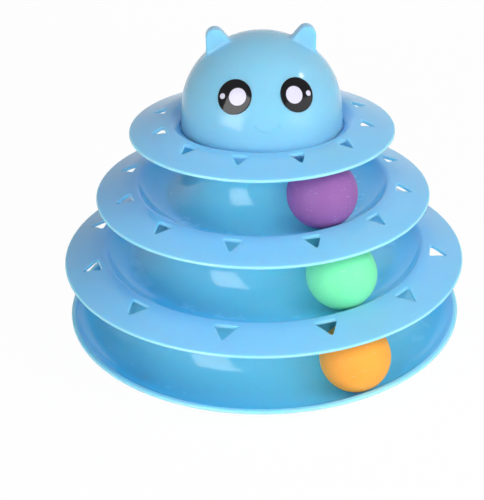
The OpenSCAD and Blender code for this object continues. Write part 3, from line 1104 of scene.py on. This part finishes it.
def eye_finish(name, spots):
    """Polished black plastic with white spots printed on it, faintly dusty. Each spot
    is a middle and a radius."""
    paint, tree, place = new_paint(name)
    dust = noise(tree, place, 700.0, 4.0)
    wobble = reckoned(tree, "MULTIPLY", noise(tree, place, 2500.0, 2.0), 0.08 * MM)
    colour = mixed(tree, dust, (0.001, 0.001, 0.002, 1), (0.004, 0.004, 0.006, 1))
    printed = 0.0
    for middle, r in spots:
        away = wire(
            tree, "ShaderNodeVectorMath", {0: place, 1: tuple(middle * MM)},
            operation="DISTANCE",
        ).outputs["Value"]
        rough = reckoned(tree, "ADD", away, wobble)
        spot = ramped(tree, rough, (r - spot_edge) * MM, (r + spot_edge) * MM, 1.0, 0.0)
        colour = mixed(tree, spot, colour, spot_white)
        printed = reckoned(tree, "MAXIMUM", printed, spot)
    gloss = ramped(tree, dust, 0.35, 0.75, 0.05, 0.12)
    ridge = reckoned(tree, "ADD", printed, dust)
    return shaded(paint, {
        "Base Color": colour,
        "Roughness": reckoned(tree, "MULTIPLY_ADD", printed, 0.12, gloss),
        "Normal": bumped(tree, ridge, 0.08, 0.1 * MM),
        "IOR": 1.49, "Specular IOR Level": 0.16,
    })


for side, turn in (("left", -eye_turn), ("right", eye_turn)):
    inward = -math.copysign(1, turn)
    eye, point, across, up = eye_mesh("eye_" + side + "_disc", turn)
    toward_nose = across * inward
    eye.data.materials.append(eye_finish("eye_" + side + "_finish", (
        (point + toward_nose * 2.0 + up * 0.1, large_spot_r),
        (point - toward_nose * 6.8 - up * 0.5, small_spot_r),
    )))
    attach(eye, "head")
    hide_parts("eye_" + side)


# The balls: thin hollow plastic balls, one loose in each track, with a satin grain and
# a faint moulding seam round the middle.
ball_d = 40.0
ball_gap = 0.3
ball_rows = 96
ball_steps = 144
ball_seam_h = 0.05
ball_seam_w = 0.35


def ball_plastic(name, darker, lighter, tilt):
    """Satin plastic with a fine grain, mottled colour and a few scuffs."""
    paint, tree, place = new_paint(name)
    cloud = noise(tree, place, 45.0, 4.0)
    scratched = wire(
        tree, "ShaderNodeMapping",
        {"Vector": place, "Rotation": tilt, "Scale": (70, 1100, 1100)},
    ).outputs[0]
    scuffs = ramped(tree, noise(tree, scratched, 1.0, 2.0), 0.66, 0.74, 0.0, 0.18)
    colour = mixed(tree, cloud, darker, lighter)
    return shaded(paint, {
        "Base Color": mixed(tree, scuffs, colour, (0.85, 0.85, 0.85, 1)),
        "Roughness": ramped(tree, cloud, 0.3, 0.7, 0.5, 0.62),
        "Normal": bumped(tree, noise(tree, place, 1300.0, 3.0), 0.12, 0.2 * MM),
        "Specular IOR Level": 0.12, "Subsurface Weight": 0.6,
        "Subsurface Radius": (1.0, 0.9, 0.8), "Subsurface Scale": 12 * MM,
    })


for name, r, floor_z, turn, tilt, darker, lighter in (
    ("orange", base_r, base_z, 25.7, (0.5, 0.9, 0.2),
     (0.90, 0.35, 0.05, 1), (0.95, 0.40, 0.065, 1)),
    ("green", middle_r, middle_z, 29.0, (-0.7, 0.4, 1.1),
     (0.17, 0.76, 0.37, 1), (0.22, 0.83, 0.43, 1)),
    ("purple", upper_r, upper_z, 31.0, (0.3, -0.6, 2.0),
     (0.25, 0.105, 0.315, 1), (0.29, 0.125, 0.365, 1)),
):
    a = math.radians(turn)
    middle = Vector((r * math.sin(a), -r * math.cos(a), floor_z + ball_gap + ball_d / 2))
    turns = [Matrix.Rotation(tilt[i], 3, "XYZ"[i]) for i in range(3)]
    spin = turns[2] @ turns[1] @ turns[0]
    pole = ball_d / 2 - ball_seam_h
    verts = [middle + spin @ Vector((0, 0, -pole))]
    for i in range(1, ball_rows):
        lean = math.pi * (i / ball_rows - 0.5)
        seam = math.exp(-(lean * ball_d / 2 / ball_seam_w) ** 2)
        reach = ball_d / 2 - ball_seam_h * (1 - seam)
        across, height = reach * math.cos(lean), reach * math.sin(lean)
        for j in range(ball_steps):
            b = 2 * math.pi * j / ball_steps
            verts.append(
                middle + spin @ Vector((across * math.cos(b), across * math.sin(b), height))
            )
    verts.append(middle + spin @ Vector((0, 0, pole)))
    ball = closed_skin(name + "_ball_shell", verts, ball_steps, from_foot=True)
    ball.data.materials.append(ball_plastic(name + "_ball_plastic", darker, lighter, tilt))
    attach(ball, name + "_ball")
    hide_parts("ball_" + name)
